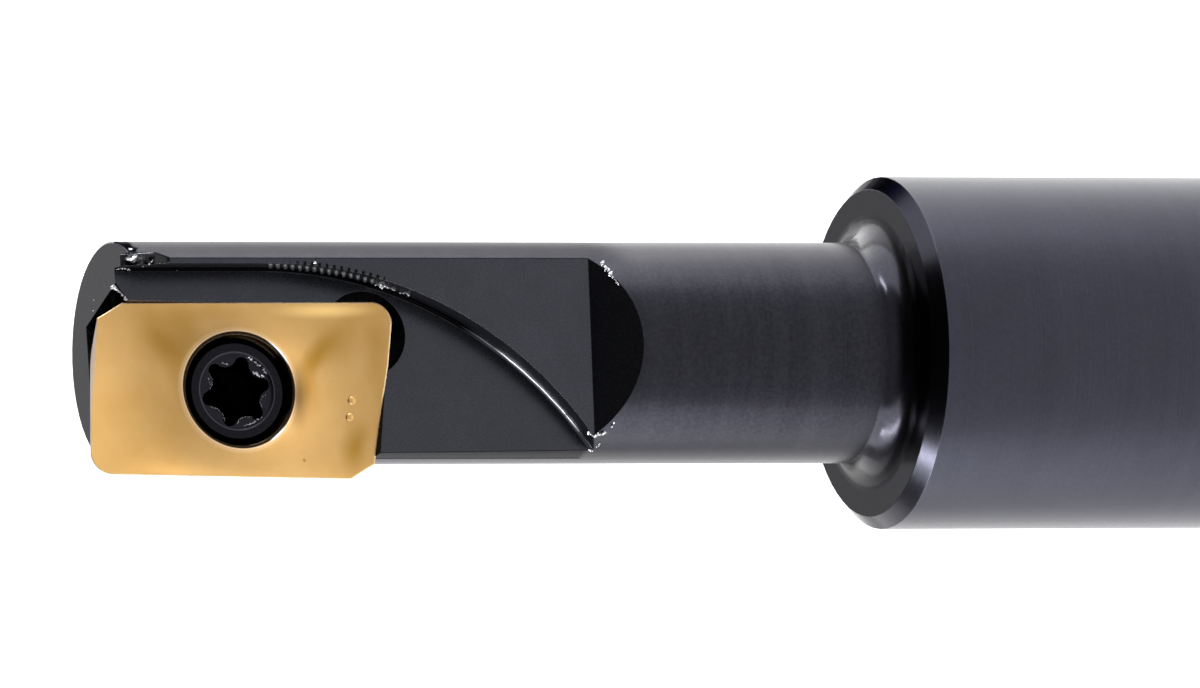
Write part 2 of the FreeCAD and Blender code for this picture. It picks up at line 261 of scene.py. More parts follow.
def blacked_steel(settings, chatter):
    """Alloy steel, turned and milled, then oxide blacked: dark, with a soft sheen along the tool marks."""
    material, tree = new_material("oxide_blacked_turned_and_milled_steel")
    place = object_millimetres(tree)
    x, y, z = add_node(tree, "ShaderNodeSeparateXYZ", (place,), None).outputs
    radius = length_of(tree, x, y)
    # Turned where the surface lies on the lathe's own outline, milled inside it
    on_neck = overlap(tree, (radius, NECK_RADIUS - 0.04, NECK_RADIUS - 0.015))
    turned = strongest(tree, on_neck, (z, "LESS_THAN", FLUTE_END_Z), (z, "GREATER_THAN", TIP_FACE_FROM_Z))
    # The feed of the lathe runs along the outline, which radius minus height follows, and the rings of the
    # form tool follow radius plus height: lines per millimetre and detail
    along = add_node(tree, "ShaderNodeMath", (radius, z), operation="SUBTRACT")
    outward = add_node(tree, "ShaderNodeMath", (radius, z), operation="ADD")
    feeds = ((along, settings.feed_lines_per_mm, 3.0), (along, 1.1, 2.0), (outward, 5.0, 3.0))
    fine_feed, broad_feed, rings = (
        add_node(tree, "ShaderNodeTexNoise", {"W": way, "Scale": size, "Detail": fine}, noise_dimensions="1D")
        for way, size, fine in feeds
    )
    # Grain of the milled faces, mottle and broad patches of the oxide, and lumps of torn metal: cells per
    # millimetre, detail and roughness
    spreads = ((11.0, 4.0, 0.62), (7.0, 5.0, 0.7), (0.55, 2.0, 0.5), (2.6, 3.0, 0.5))
    kinds = [{"Vector": place, "Scale": size, "Detail": fine, "Roughness": rough} for size, fine, rough in spreads]
    grain, mottle, patches, clumps = (add_node(tree, "ShaderNodeTexNoise", kind) for kind in kinds)
    neck_tone = paint(tree, "#1c1c22", (fine_feed, "#26262c"))
    shank_tone = paint(tree, "#2c2c34", (fine_feed, "#33343d"))
    on_shank = (z, "LESS_THAN", SHOULDER_Z + NEAR)
    turned_tone = paint(tree, neck_tone, (on_shank, shank_tone), ((mottle, 0.35, 0.7), "#3f3f46", 0.22))
    tone = paint(
        tree,
        paint(tree, "#36373c", (grain, "#3f4046")),
        (turned, turned_tone),
        (overlap(tree, (broad_feed, 0.3, 0.75), turned), "#47474e", 0.07),
        ((patches, 0.35, 0.7), "#2a2a30", 0.16),
    )
    # Painted shade: the tone goes near black where corners close in
    corner_shade = add_node(tree, "ShaderNodeAmbientOcclusion", {"Distance": 0.5 * MM}, "AO", samples=8)
    tone = paint(tree, "#060607", ((corner_shade, 0.18, 0.5), tone))
    root, root_highlight, wall = land_wall_marks(tree, x, z, from_screw_axis(tree, place)[1])
    rib_gap_shade = rib_gap_shade_mark(tree, x, y, z, chatter)
    gouge = gouge_mark(tree, radius, x, y, z)
    flared_wall_shade, ragged = tip_marks(tree, place, x, y, z, on_neck)
    strip, line = neck_strip_marks(tree, x, y, z, on_neck)
    lumps = strongest(tree, (clumps, 0.42, 0.62), (x, 3.18, 3.34))
    # The form tool that turned the shoulder left its fillet, face and chamfer smoother; they are also painted
    # darker as shade, the chamfer most except on its side towards minus x
    fillet_z = SHOULDER_Z + SHOULDER_FILLET
    chamfer_z = SHOULDER_Z - SHOULDER_CHAMFER
    chamfer_inner = SHANK_RADIUS - SHOULDER_CHAMFER
    shoulder = overlap(tree, (z, chamfer_z - 0.01, chamfer_z + 0.02), (z, fillet_z + 0.05, fillet_z - 0.20))
    chamfer = overlap(tree, shoulder, (radius, chamfer_inner - 0.02, chamfer_inner + 0.02), (x, -3.4, -2.0))
    tone = paint(
        tree,
        tone,
        (wall, paint(tree, "#202125", (grain, "#2c2d32"))),
        # painted shade: the black line at the wall's root
        (root, "#040405"),
        # painted highlight: bright steel tone on the root at its far end
        (root_highlight, "#a8aab0"),
        # painted shade between the chatter ribs
        (rib_gap_shade, "#0e0f12"),
        (gouge, paint(tree, "#060607", (lumps, "#85858b"))),
        # painted shade: the flared wall near black
        (flared_wall_shade, paint(tree, "#08080a", (lumps, "#1d1d20"))),
        (ragged, "#1c1c20", 0.6),
        (strip, "#121215", 0.3),
        (line, "#040405"),
        # painted shade: the shoulder darker, and the chamfer darker still
        (shoulder, "#1b1b1f", 0.4),
        (chamfer, "#121214", 0.5),
    )
    # Painted shade: the steel's glancing shine is darkened in these places, each by its share
    step = (off_from(tree, z, SHOULDER_Z), 0.03, 0.01)
    beside_flute_end = overlap(tree, on_neck, (x, 2.7, 3.1), (z, FLUTE_END_Z - 0.2, FLUTE_END_Z + 1.4))
    shares = (
        (gouge, 0.5),
        (strip, 0.28),
        (step, 0.22),
        (flared_wall_shade, 0.9),
        (ragged, 0.85),
        (beside_flute_end, 0.3),
        (chamfer, 0.65),
        (wall, 0.7),
        (rib_gap_shade, 0.8),
    )
    dull = strongest(tree, root, line, *(overlap(tree, mask, share) for mask, share in shares))
    rough = shifted(
        tree,
        settings.holder_roughness - 0.06,
        (grain, 0.14),
        (overlap(tree, fine_feed, turned), 0.08),
        (root_highlight, -0.14),
        (wall, 0.22),
        (shoulder, shifted(tree, -0.19, (rings, 0.12))),
    )
    feed_over_grain = add_node(tree, "ShaderNodeMath", (fine_feed, grain), operation="SUBTRACT")
    marks = shifted(tree, grain, (turned, feed_over_grain))
    soft = add_node(tree, "ShaderNodeBevel", {"Radius": 0.035 * MM}, samples=6)
    looks = {
        "Base Color": tone,
        "Metallic": 1.0,
        "Roughness": rough,
        # Painted shade: the glancing shine is tinted dark where dull holds
        "Specular Tint": paint(tree, "#ffffff", (dull, "#202022")),
        "Normal": add_node(tree, "ShaderNodeBump", {"Distance": 0.0011 * MM, "Height": marks, "Normal": soft}),
    }
    return end_material(material, looks)


def land_wall_marks(tree, x, z, height):
    """Masks of the land's wall: its black root line of painted shade, a painted highlight on the root at the far
    end, and the wall.
    """
    inside = on_land_wall(tree, x, z)[1]
    rise = add_node(tree, "ShaderNodeMath", (height, LAND_ABOVE_AXIS_POINT), operation="SUBTRACT")
    above = overlap(
        tree,
        (inside, 0.14, 0.10),
        (inside, "GREATER_THAN", -NEAR),
        (z, "GREATER_THAN", FLUTE_END_Z + 1.5),
        (rise, "GREATER_THAN", -0.02),
    )
    # Short of the bend the wall's own grey is laid only faintly, leaving that part to the tone beneath and its
    # painted shade
    sockets = (z, *BLACK_WALL_FROM_Z, 0.12, 1.0)
    blacker = add_node(tree, "ShaderNodeMapRange", sockets, interpolation_type="SMOOTHSTEP")
    wall = overlap(tree, above, (rise, 0.10, 0.16), blacker)
    root = overlap(tree, above, (rise, 0.16, 0.10))
    root_highlight = overlap(tree, root, (z, *ROOT_HIGHLIGHT_TO_Z), (z, *ROOT_HIGHLIGHT_FROM_Z), (inside, 0.085, 0.05))
    return overlap(tree, root, (z, *BLACK_ROOT_FROM_Z)), root_highlight, wall


def rib_gap_shade_mark(tree, x, y, z, chatter):
    """Mask of the painted shade between the chatter ribs, along the edge of the flute floor."""
    angle, inside = on_land_wall(tree, x, z)
    past_first = add_node(tree, "ShaderNodeMath", (angle, chatter.first_angle), operation="SUBTRACT")
    rib = add_node(tree, "ShaderNodeMath", (past_first, chatter.pitch_angle), operation="DIVIDE")
    nearest = add_node(tree, "ShaderNodeMath", (rib,), operation="ROUND")
    # The painted shade grows over the first four ribs, and reaches past the wall's edge into the floor
    return overlap(
        tree,
        (off_from(tree, rib, nearest), 0.22, 0.38),
        (rib, 0.0, 4.0),
        (rib, "LESS_THAN", chatter.count - 0.5),
        (inside, -0.15, -0.08),
        (inside, "LESS_THAN", NEAR),
        (y, "LESS_THAN", FLUTE_FLOOR_Y + 0.02),
    )


def gouge_mark(tree, radius, x, y, z):
    """Mask of the gouge at the tip, inside the neck's outline and above the land's wall."""
    return overlap(
        tree,
        (radius, "LESS_THAN", NECK_RADIUS - 0.03),
        (x, "GREATER_THAN", LAND_WALL_X + NEAR),
        (y, "GREATER_THAN", FLUTE_FLOOR_Y + NEAR),
        (z, "LESS_THAN", TIP_Z - NEAR),
        (z, "GREATER_THAN", TIP_Z - GOUGE_REACH),
    )


def tip_marks(tree, place, x, y, z, on_neck):
    """Masks of the flared wall in front of the insert, painted near black as shade, and of the ragged skin beside
    the gouge.
    """
    normal = add_node(tree, "ShaderNodeTexCoord", output="Normal")
    sockets = (normal, FLARED_WALL_FACING)
    facing = add_node(tree, "ShaderNodeVectorMath", sockets, "Value", operation="DOT_PRODUCT")
    flared_wall_shade = overlap(tree, (facing, 0.95, 0.98), (z, "GREATER_THAN", FLARED_WALL_FROM_Z))
    wander = add_node(tree, "ShaderNodeTexNoise", {"Vector": place, "Scale": 2.0, "Detail": 3.0})
    short_of_face = (z, "LESS_THAN", TIP_FACE_FROM_Z)
    bevel = overlap(tree, (z, "GREATER_THAN", TIP_Z - 0.2), short_of_face, (x, "GREATER_THAN", 2.9))
    ragged = overlap(
        tree,
        (shifted(tree, z, (wander, 0.9)), *RAGGED_SKIN_FROM_Z),
        (y, "LESS_THAN", -0.6),
        strongest(tree, on_neck, bevel),
        short_of_face,
        (x, "GREATER_THAN", 2.2),
    )
    return flared_wall_shade, ragged


def neck_strip_marks(tree, x, y, z, on_neck):
    """Masks of the smooth strip under the land and of the thin dark line along its edge."""
    side = overlap(tree, (x, "LESS_THAN", -3.0), (z, *STRIP_FROM_Z), on_neck)
    strip = overlap(tree, side, (y, STRIP_EDGE_Y, STRIP_EDGE_Y - 0.05), (z, "LESS_THAN", TIP_Z - NEAR))
    return strip, overlap(tree, side, (off_from(tree, y, STRIP_EDGE_Y), 0.05, 0.02))


def gold_coating(settings):
    """Ground carbide under a vapour-deposited nitride coat: a warm satin gold, greyer on the ground flanks."""
    material, tree = new_material("nitride_coated_pressed_and_ground_carbide")
    place = object_millimetres(tree)
    away = from_screw_axis(tree, place)[0]
    cloud = add_node(tree, "ShaderNodeTexNoise", {"Vector": place, "Scale": 0.8, "Detail": 3.0})
    sockets = {"Vector": place, "Scale": 26.0, "Detail": 3.0, "Roughness": 0.6}
    grit = add_node(tree, "ShaderNodeTexNoise", sockets)
    # The shades drift by up to a quarter of a millimetre, so that their outlines aren't plain ovals
    drift = add_node(tree, "ShaderNodeTexNoise", {"Vector": place, "Scale": 0.6, "Detail": 2.0}, "Color")
    drift = add_node(tree, "ShaderNodeVectorMath", (drift, (0.5, 0.5, 0.5)), operation="SUBTRACT")
    drifted = add_node(tree, "ShaderNodeVectorMath", (drift, (0.5, 0.5, 0.5), place), operation="MULTIPLY_ADD")
    painted_lip_shade = soft_patch(tree, place, LIP_SHADE)
    # Painted shade and painted highlights on the coat's tone: the rake shades, the heel highlight, a light ring
    # round the countersink, and the shade where its lip turns down
    rake = paint(
        tree,
        settings.coating_light,
        (cloud, settings.coating_deep),
        *((soft_patch(tree, drifted, shade), "#a27931") for shade in RAKE_SHADES),
        (soft_patch(tree, place, RAKE_HIGHLIGHT), "#f6cf88"),
        ((off_from(tree, away, COUNTERSINK_RADIUS + 0.07), 0.13, 0.02), "#e9cba2", 0.3),
        (painted_lip_shade, "#4a3219"),
    )
    normal = add_node(tree, "ShaderNodeTexCoord", output="Normal")
    facing = add_node(tree, "ShaderNodeVectorMath", (normal, seat_normal()), "Value", operation="DOT_PRODUCT")
    sideways = off_from(tree, add_node(tree, "ShaderNodeSeparateXYZ", (normal,)), 0.0)
    flank = paint(tree, "#c9b0a2", (cloud, "#b89c86"), ((sideways, 0.5, 0.8), "#5e4a38"))
    # The honed edges, where the softened normal leaves the face's own
    soft = add_node(tree, "ShaderNodeBevel", {"Radius": 0.08 * MM}, samples=6)
    face = add_node(tree, "ShaderNodeNewGeometry", output="True Normal")
    bend = add_node(tree, "ShaderNodeVectorMath", (soft, face), "Value", operation="DOT_PRODUCT")
    # The countersink is near black down to the screw; a light ring and white arcs of painted highlight lie on its
    # edge
    sunk = overlap(tree, (away, COUNTERSINK_RADIUS, COUNTERSINK_RADIUS - 0.02))
    rim = (off_from(tree, away, COUNTERSINK_RADIUS + 0.02), 0.03, 0.01)
    rubbed = (off_from(tree, away, COUNTERSINK_RADIUS), 0.055, 0.02)
    # One cell in a few has a pit
    cells = add_node(tree, "ShaderNodeTexVoronoi", {"Vector": place, "Scale": 0.85}, None).outputs
    pit = overlap(tree, (cells["Distance"], 0.07, 0.035), (cells["Color"], "LESS_THAN", 0.3))
    tone = paint(
        tree,
        flank,
        ((facing, 0.45, 0.8), rake),
        ((bend, 0.99, 0.91), "#f0d9b6", 0.8),
        (sunk, "#191716"),
        # Painted highlights: a light ring and white arcs on the countersink's edge
        (overlap(tree, rim, shifted(tree, 0.45, (painted_lip_shade, -0.45))), "#ecd8c4"),
        *((overlap(tree, soft_patch(tree, place, rim_highlight), rubbed), "#ffffff") for rim_highlight in RIM_HIGHLIGHTS),
        ((grit, 0.35, 0.75), "#a27a3c", 0.10),
        (pit, "#7a5526", 0.6),
    )
    height = shifted(tree, grit, (pit, -4.0))
    looks = {
        "Base Color": tone,
        "Metallic": 1.0,
        "Roughness": shifted(tree, settings.coating_roughness, (sunk, -0.24)),
        "Specular Tint": paint(tree, "#ffffff", (sunk, "#1c1c1c")),
        "Normal": add_node(tree, "ShaderNodeBump", {"Distance": 0.0011 * MM, "Height": height, "Normal": soft}),
    }
    return end_material(material, looks)


def blacked_screw_steel(settings):
    """Alloy screw steel, cold headed and oxide blacked: dark, worn grey on the ring round the socket, and painted
    near black as shade in the socket's hollows.
    """
    material, tree = new_material("oxide_blacked_cold_headed_screw_steel")
    place = object_millimetres(tree)
    away, height = from_screw_axis(tree, place)
    grain = add_node(tree, "ShaderNodeTexNoise", {"Vector": place, "Scale": 14.0, "Detail": 3.0})
    socket_hollow_shade = add_node(tree, "ShaderNodeAmbientOcclusion", {"Distance": 0.7 * MM}, "AO", samples=8)
    ring = overlap(tree, (away, SOCKET_RIM_RADIUS, SOCKET_RIM_RADIUS - 0.04), (height, *SCREW_RING_HEIGHT))
    mouth = overlap(tree, (off_from(tree, away, SOCKET_RIM_RADIUS), 0.05, 0.015), 0.7)
    tone = paint(tree, "#121215", (grain, "#222228"), (ring, "#232329"), (mouth, "#44444c"))
    # Painted shade: the screw is painted near black in hollows and below the upper part of its socket; only the
    # open upper part and the socket's mouth keep the tone
    lit = strongest(tree, overlap(tree, (socket_hollow_shade, 0.3, 0.6), (height, *SOCKET_LIT_HEIGHT)), mouth)
    soft = add_node(tree, "ShaderNodeBevel", {"Radius": 0.04 * MM}, samples=6)
    looks = {
        "Base Color": paint(tree, "#020202", (lit, tone)),
        "Metallic": 1.0,
        "Roughness": settings.screw_roughness,
        "Specular Tint": paint(tree, "#303033", (lit, "#ffffff")),
        "Normal": add_node(tree, "ShaderNodeBump", {"Distance": 0.003 * MM, "Height": grain, "Normal": soft}),
    }
    return end_material(material, looks)


def rubbed_oxide():
    """Black oxide rubbed dull on the crests of the chatter ribs: a soft, matt grey on the dark wall."""
    material, tree = new_material("rubbed_oxide_on_chatter_crests")
    place = object_millimetres(tree)
    grain = add_node(tree, "ShaderNodeTexNoise", {"Vector": place, "Scale": 16.0, "Detail": 2.0})
    return end_material(material, {"Base Color": paint(tree, "#181b1f", (grain, "#25282d")), "Roughness": 0.6})


def torn_steel():
    """Bare steel torn at an edge by the cutter: bright, broken glints on the blacked body."""
    material, tree = new_material("bare_steel_torn_burr")
    place = object_millimetres(tree)
    grain = add_node(tree, "ShaderNodeTexNoise", {"Vector": place, "Scale": 20.0, "Detail": 2.0})
    tone = paint(tree, "#8f9095", (grain, "#e6e7ea"))
    return end_material(material, {"Base Color": tone, "Metallic": 1.0, "Roughness": 0.28})


def studio_floor():
    """Matt white card: pure white to the lens and to reflections, and it still takes the tool's shadow."""
    material, tree = new_material("matt_white_studio_card")
    rays = add_node(tree, "ShaderNodeLightPath", output=None).outputs
    mirrored = strongest(tree, rays["Is Glossy Ray"], rays["Is Transmission Ray"])
    strength = shifted(tree, overlap(tree, rays["Is Camera Ray"], 0.8), (mirrored, 0.55))
    glow = add_node(tree, "ShaderNodeEmission", {"Color": "#ffffff", "Strength": strength})
    looks = {"Base Color": "#e8e8e8", "Roughness": 0.9, "Specular IOR Level": 0.0}
    card = add_node(tree, "ShaderNodeBsdfPrincipled", looks)
    both = add_node(tree, "ShaderNodeAddShader", (card, glow))
    add_node(tree, "ShaderNodeOutputMaterial", {"Surface": both}, output=None)
    return material


# Places and meshes


def seat_normal():
    """The direction square to the pocket floor, out through the rake face."""
    flat = math.cos(POCKET_LEAN)
    return Vector((math.sin(POCKET_TURN) * flat, -math.cos(POCKET_TURN) * flat, math.sin(POCKET_LEAN)))


def screw_frame():
    """Turns a piece built along +Z round the origin to stand on the screw's axis, in millimetres."""
    turn = seat_normal().to_track_quat("Z", "X").to_matrix().to_4x4()
    return Matrix.Translation(Vector(SCREW_AXIS_POINT)) @ turn


def link(item):
    """Puts an object into the scene."""
    bpy.context.scene.collection.objects.link(item)
    return item


def new_tree(name, inputs):
    """A geometry tree with these named inputs, and the sockets that give their values."""
    tree = bpy.data.node_groups.new(name, "GeometryNodeTree")
    for label, kind, value in inputs:
        socket = tree.interface.new_socket(name=label, in_out="INPUT", socket_type=kind)
        if value is not None:
            socket.default_value = value
    tree.interface.new_socket(name="Geometry", in_out="OUTPUT", socket_type="NodeSocketGeometry")
    return tree, add_node(tree, "NodeGroupInput", output=None).outputs


def end_tree(tree, geometry, material):
    """Makes the instances real, smooths them, and gives them their material."""
    solid = add_node(tree, "GeometryNodeRealizeInstances", {"Geometry": geometry})
    smooth = add_node(tree, "GeometryNodeSetShadeSmooth", {"Geometry": solid})
    painted = add_node(tree, "GeometryNodeSetMaterial", {"Geometry": smooth, "Material": material})
    add_node(tree, "NodeGroupOutput", {"Geometry": painted}, output=None)
    return tree


def bake_tree(tree, name, values, seed_mesh=None):
    """Runs the tree in millimetres on a carrier and leaves a plain mesh in metres."""
    carrier = link(bpy.data.objects.new(name, seed_mesh or bpy.data.meshes.new(name + "_seed")))
    modifier = carrier.modifiers.new("build", "NODES")
    modifier.node_group = tree
    for item in tree.interface.items_tree:
        if item.in_out == "INPUT" and item.name in values:
            modifier[item.identifier] = values[item.name]
    graph = bpy.context.evaluated_depsgraph_get()
    mesh = bpy.data.meshes.new_from_object(carrier.evaluated_get(graph), depsgraph=graph)
    carrier.modifiers.remove(modifier)
    if not mesh.polygons:
        raise RuntimeError(name + " came out empty")
    mesh.transform(Matrix.Scale(MM, 4))
    mesh.name = name
    carrier.data = mesh
    return carrier


def hand_over(piece):
    """Lets a piece ride on the tool."""
    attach(piece, "root")


# Settings


class ENDMILL_PG_finish(bpy.types.PropertyGroup):
    """Finish of the three CAD pieces."""

    holder_roughness: bpy.props.FloatProperty(
        name="Holder roughness", description="Roughness of the blacked steel", default=0.27, min=0.05, max=1.0
    )
    feed_lines_per_mm: bpy.props.FloatProperty(
        name="Feed lines", description="Turning lines per millimetre along the outline", default=13.0, min=1.0
    )
    coating_light: bpy.props.StringProperty(
        name="Coating light tone", description="Lighter sRGB hex tone of the insert's coat", default="#cca76f"
    )
    coating_deep: bpy.props.StringProperty(
        name="Coating deep tone", description="Deeper sRGB hex tone of the insert's coat", default="#bd9356"
    )
    coating_roughness: bpy.props.FloatProperty(
        name="Coating roughness", description="Roughness of the insert's coat", default=0.40, min=0.05, max=1.0
    )
    screw_roughness: bpy.props.FloatProperty(
        name="Screw roughness", description="Roughness of the screw", default=0.26, min=0.05, max=1.0
    )


class ENDMILL_PG_chatter(bpy.types.PropertyGroup):
    """Ribs that the cutter's chatter left on the curved wall of the land."""

    count: bpy.props.IntProperty(name="Ribs", description="Number of chatter ribs", default=15, min=1)
    first_angle: bpy.props.FloatProperty(
        name="First rib",
        description="Angle of the first rib on the wall's arc",
        default=math.radians(0.4),
        unit="ROTATION",
    )
    pitch_angle: bpy.props.FloatProperty(
        name="Rib pitch",
        description="Angle from rib to rib on the arc",
        default=math.radians(1.1),
        unit="ROTATION",
    )
    width_mm: bpy.props.FloatProperty(
        name="Rib width", description="Width of a rib in mm", default=0.15, min=0.01
    )
    rise_mm: bpy.props.FloatProperty(
        name="Rib rise", description="Rise of a rib in mm", default=0.07, min=0.001
    )
    full_from: bpy.props.FloatProperty(
        name="Full from", description="First rib that has the full rise", default=6.0
    )


class ENDMILL_PG_burrs(bpy.types.PropertyGroup):
    """Torn burrs left along the milled edges."""

    spacing_mm: bpy.props.FloatProperty(
        name="Burr spacing", description="Distance between torn lumps in mm", default=0.045, min=0.01
    )
    jitter: bpy.props.FloatProperty(
        name="Unevenness", description="How uneven the lumps are, 0 to 1", default=0.55, min=0.0, max=1.0
    )
    seed: bpy.props.IntProperty(name="Seed", description="Fixed seed of the burrs", default=7)


class ENDMILL_PG_thread(bpy.types.PropertyGroup):
    """Thread of the tapped hole, where it shows at the back of the neck."""

    pitch_mm: bpy.props.FloatProperty(name="Thread pitch", description="Pitch in mm", default=0.45, min=0.1)
    depth_mm: bpy.props.FloatProperty(
        name="Thread depth", description="Depth of the ridge in mm", default=0.17
    )
    radius_mm: bpy.props.FloatProperty(
        name="Hole radius", description="Radius of the tapped hole in mm", default=1.25
    )


# Pieces


class ENDMILL_OT_finish_solids(bpy.types.Operator):
    """Gives the holder, the insert and the screw their materials"""

    bl_idname = "endmill.finish_solids"
    bl_label = "Finish the solids"

    def execute(self, context):
        settings = context.scene.endmill_finish
        finishes = {
            "holder_body": blacked_steel(settings, context.scene.endmill_chatter),
            "cutting_insert": gold_coating(settings),
            "clamp_screw": blacked_screw_steel(settings),
        }
        for node, material in finishes.items():
            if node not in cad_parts:
                raise RuntimeError("the frame has no node " + node)
            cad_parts[node].material_slots[0].material = material
        return {"FINISHED"}


class ENDMILL_OT_chatter_ribs(bpy.types.Operator):
    """Lays the chatter ribs along the curved wall of the land"""

    bl_idname = "endmill.chatter_ribs"
    bl_label = "Add chatter ribs"

    def execute(self, context):
        settings = context.scene.endmill_chatter
        values = {
            "Count": settings.count,
            "First Angle": settings.first_angle,
            "Pitch Angle": settings.pitch_angle,
            "Rib Width": settings.width_mm,
            "Rib Rise": settings.rise_mm,
            "Full From": settings.full_from,
        }
        hand_over(bake_tree(chatter_tree(rubbed_oxide()), "chatter_ribs", values))
        return {"FINISHED"}


# The ribs reach from just above the flute's floor down the wall to the lower land, and lean towards the shank
RIB_TOP_Y = FLUTE_FLOOR_Y - 0.01
RIB_BOTTOM_Y = -0.66
RIB_LEAN = (0.0, 1.0, -0.4)


def chatter_tree(material):
    """Half-sunk bars along the wall's arc, one every pitch angle, each a little uneven."""
    tree, given = new_tree(
        "chatter_ribs_on_the_land_wall",
        [
            ("Count", "NodeSocketInt", 14),
            ("First Angle", "NodeSocketFloat", 0.0),
            ("Pitch Angle", "NodeSocketFloat", 0.02),
            ("Rib Width", "NodeSocketFloat", 0.15),
            ("Rib Rise", "NodeSocketFloat", 0.04),
            ("Full From", "NodeSocketFloat", 5.0),
        ],
    )
    index = add_node(tree, "GeometryNodeInputIndex")
    angle = shifted(tree, given["First Angle"], (index, given["Pitch Angle"]))
    cosine, sine = (add_node(tree, "ShaderNodeMath", (angle,), operation=side) for side in ("COSINE", "SINE"))
    x = shifted(tree, LAND_WALL_X - LAND_WALL_RADIUS, (cosine, LAND_WALL_RADIUS))
    z = shifted(tree, LAND_WALL_BEND_Z, (sine, -LAND_WALL_RADIUS))
    place = add_node(tree, "ShaderNodeCombineXYZ", (x, (RIB_TOP_Y + RIB_BOTTOM_Y) / 2, z))
    points = add_node(tree, "GeometryNodePoints", {"Count": given["Count"], "Position": place})
    off_wall = add_node(tree, "ShaderNodeCombineXYZ", (overlap(tree, cosine, -1.0), 0.0, sine))
    upright = add_node(tree, "FunctionNodeAlignRotationToVector", {"Vector": RIB_LEAN}, axis="Z")
    sockets = {"Rotation": upright, "Vector": off_wall}
    facing = add_node(tree, "FunctionNodeAlignRotationToVector", sockets, axis="X", pivot_axis="Z")
    sockets = {2: 0.75, 3: 1.2, "ID": index, "Seed": 3}
    uneven = add_node(tree, "FunctionNodeRandomValue", sockets, output=1, data_type="FLOAT")
    sockets = (index, -1.0, given["Full From"], 0.25, 1.0)
    grown = add_node(tree, "ShaderNodeMapRange", sockets, interpolation_type="SMOOTHSTEP")
    rise = overlap(tree, given["Rib Rise"], uneven, grown)
    scale = add_node(tree, "ShaderNodeCombineXYZ", (rise, overlap(tree, given["Rib Width"], 0.5), 1.0))
    sockets = {"Vertices": 12, "Radius": 1.0, "Depth": RIB_BOTTOM_Y - RIB_TOP_Y}
    bar = add_node(tree, "GeometryNodeMeshCylinder", sockets, fill_type="NGON")
    sockets = {"Points": points, "Instance": bar, "Rotation": facing, "Scale": scale}
    return end_tree(tree, add_node(tree, "GeometryNodeInstanceOnPoints", sockets), material)


# Where the burrs run, in millimetres: points along the edge and the thickness of the lumps there
BURR_RUNS = (
    ([(3.29, -1.84, 80.86), (3.17, -1.80, 80.87)], 0.18),
    ([(3.42, -1.85, 80.84), (3.22, -1.72, 80.88)], 0.12),
    ([(3.33, -1.50, 80.86), (3.20, -1.42, 80.88)], 0.11),
    ([(3.14, -1.52, 80.73), (3.12, -1.51, 80.70)], 0.05),
    ([(2.96, -1.20, 80.25), (3.00, -1.86, 80.26)], 0.022),
    ([(3.00, -1.86, 80.26), (3.12, -2.03, 80.16)], 0.045),
    ([(2.92, -0.68, 81.04), (2.95, -0.74, 80.78), (2.93, -0.70, 80.53)], 0.045),
    ([(2.35, -0.52, 81.10), (2.30, -0.53, 81.06)], 0.15),
    ([(2.30, -0.53, 81.06), (2.09, -0.64, 80.89), (1.94, -0.66, 80.79), (1.83, -0.71, 80.70)], 0.085),
    ([(2.03, 1.49, 81.12), (2.00, 1.50, 81.12)], 0.045),
    ([(1.68, 1.63, 81.12), (1.66, 1.64, 81.12)], 0.04),
    ([(2.87, -0.70, 78.75), (2.86, -0.70, 78.71)], 0.05),
    ([(3.00, -2.40, 74.13), (2.99, -2.40, 74.09)], 0.07),
    ([(2.34, -1.32, 71.41), (2.27, -1.44, 71.16)], 0.1),
    ([(2.25, -1.45, 71.10), (2.12, -1.44, 70.72)], 0.05),
    ([(2.05, -1.45, 70.51), (1.94, -1.59, 70.25)], 0.055),
    ([(-3.04, -2.13, 63.80), (-3.20, -2.33, 63.67), (-3.15, -2.44, 63.50), (-3.09, -2.52, 63.35)], 0.085),
    ([(-2.93, -2.70, 63.14), (-2.80, -2.83, 63.05)], 0.045),
    ([(-3.55, -1.79, 63.36), (-3.44, -2.02, 63.30)], 0.045),
    ([(-3.67, -1.54, 63.42), (-3.61, -1.56, 63.56)], 0.05),
    ([(2.90, -2.74, 63.26), (2.70, -2.94, 63.16), (2.54, -3.06, 63.08)], 0.10),
    ([(2.54, -3.06, 63.08), (2.12, -3.30, 62.88)], 0.05),
)
# The same for the rim of the screw's socket
SOCKET_BURR_RUNS = (
    ([(-0.21, -0.70, 76.15), (-0.39, -0.71, 75.94), (-0.53, -0.73, 75.68), (-0.80, -0.76, 75.50)], 0.065),
    ([(-0.75, -0.74, 76.00), (-0.93, -0.76, 75.71)], 0.07),
    ([(-0.46, -0.70, 76.97), (-0.42, -0.69, 77.15)], 0.034),
    ([(-1.17, -0.75, 77.66), (-0.96, -0.73, 77.72)], 0.032),
    ([(-2.41, -0.89, 75.82), (-2.58, -0.90, 76.17), (-2.69, -0.90, 76.48)], 0.04),
    ([(-0.80, -0.75, 77.67), (-1.01, -0.77, 77.59), (-1.18, -0.78, 77.60), (-1.36, -0.80, 77.69)], 0.02),
    ([(-2.00, -0.85, 77.74), (-2.06, -0.86, 77.47), (-2.26, -0.87, 77.26), (-2.49, -0.89, 77.20)], 0.018),
    ([(-2.61, -0.90, 76.74), (-2.46, -0.89, 76.66), (-2.36, -0.88, 76.41), (-2.37, -0.88, 76.17)], 0.022),
    ([(-1.56, -0.81, 75.57), (-1.65, -0.82, 75.73), (-1.85, -0.84, 75.81), (-2.00, -0.85, 75.75)], 0.018),
)


